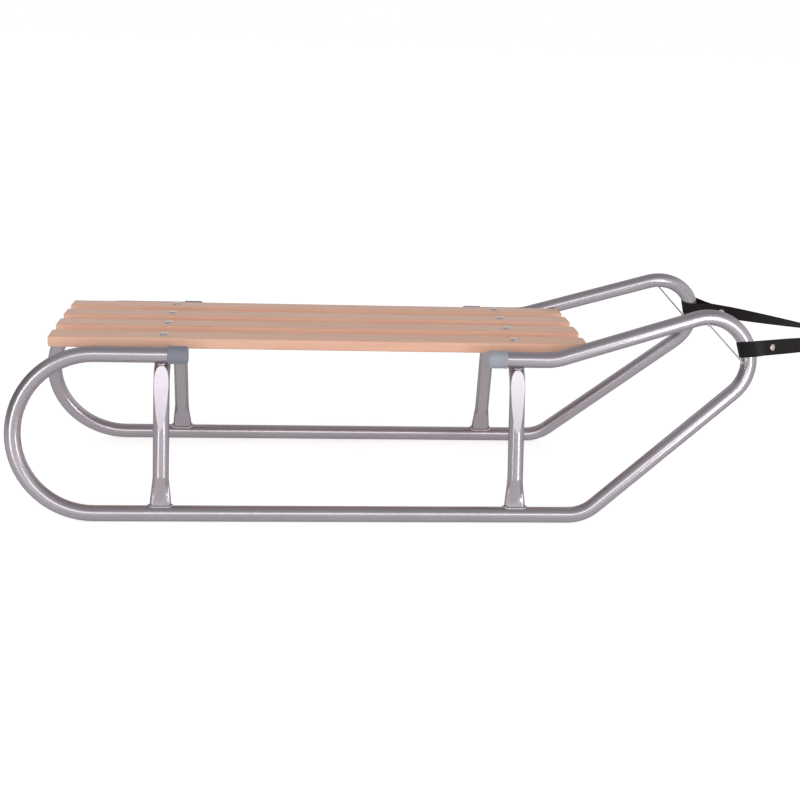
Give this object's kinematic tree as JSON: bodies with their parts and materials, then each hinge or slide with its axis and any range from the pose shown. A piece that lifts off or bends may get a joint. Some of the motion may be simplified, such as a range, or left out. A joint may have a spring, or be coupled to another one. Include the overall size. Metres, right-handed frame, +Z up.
{
  "type": "metal sled",
  "caption": "Child's sled of bent steel tube with two looped side frames, two arches, a slatted wooden seat and a webbing pull strap.",
  "frame": {"origin": "on the ground under the sled, at the middle of its length and width", "axes": "+X forward, towards the curls and the pull strap; +Y to the rider's left; +Z up"},
  "size_m": [1.5528, 0.425, 0.3418],
  "materials": {
    "painted_tube": "silver metallic paint, satin",
    "lacquered_board": "clear satin lacquer",
    "zinc_fasteners": "zinc plated",
    "cap_plastic": "moulded, satin grey",
    "wire": "silver metallic paint, satin",
    "rivet_steel": "plated",
    "webbing": "woven, black"
  },
  "bodies": {
    "root": {"arch_front": "painted_tube", "arch_rear": "painted_tube", "bolt_front_1": "zinc_fasteners", "bolt_front_2": "zinc_fasteners", "bolt_front_3": "zinc_fasteners", "bolt_front_4": "zinc_fasteners", "bolt_rear_1": "zinc_fasteners", "bolt_rear_2": "zinc_fasteners", "bolt_rear_3": "zinc_fasteners", "bolt_rear_4": "zinc_fasteners", "end_cap_front_left": "cap_plastic", "end_cap_front_right": "cap_plastic", "end_cap_rear_left": "cap_plastic", "end_cap_rear_right": "cap_plastic", "hand_loop": "webbing", "keeper_wire_left": "wire", "keeper_wire_right": "wire", "loop_rivet_left": "rivet_steel", "loop_rivet_right": "rivet_steel", "nut_front_1": "zinc_fasteners", "nut_front_2": "zinc_fasteners", "nut_front_3": "zinc_fasteners", "nut_front_4": "zinc_fasteners", "nut_rear_1": "zinc_fasteners", "nut_rear_2": "zinc_fasteners", "nut_rear_3": "zinc_fasteners", "nut_rear_4": "zinc_fasteners", "side_frame_left": "painted_tube", "side_frame_right": "painted_tube", "slat_1": "lacquered_board", "slat_2": "lacquered_board", "slat_3": "lacquered_board", "slat_4": "lacquered_board", "strap_left": "webbing", "strap_right": "webbing", "strap_rivet_left": "rivet_steel", "strap_rivet_right": "rivet_steel"}
  },
  "joints": []
}
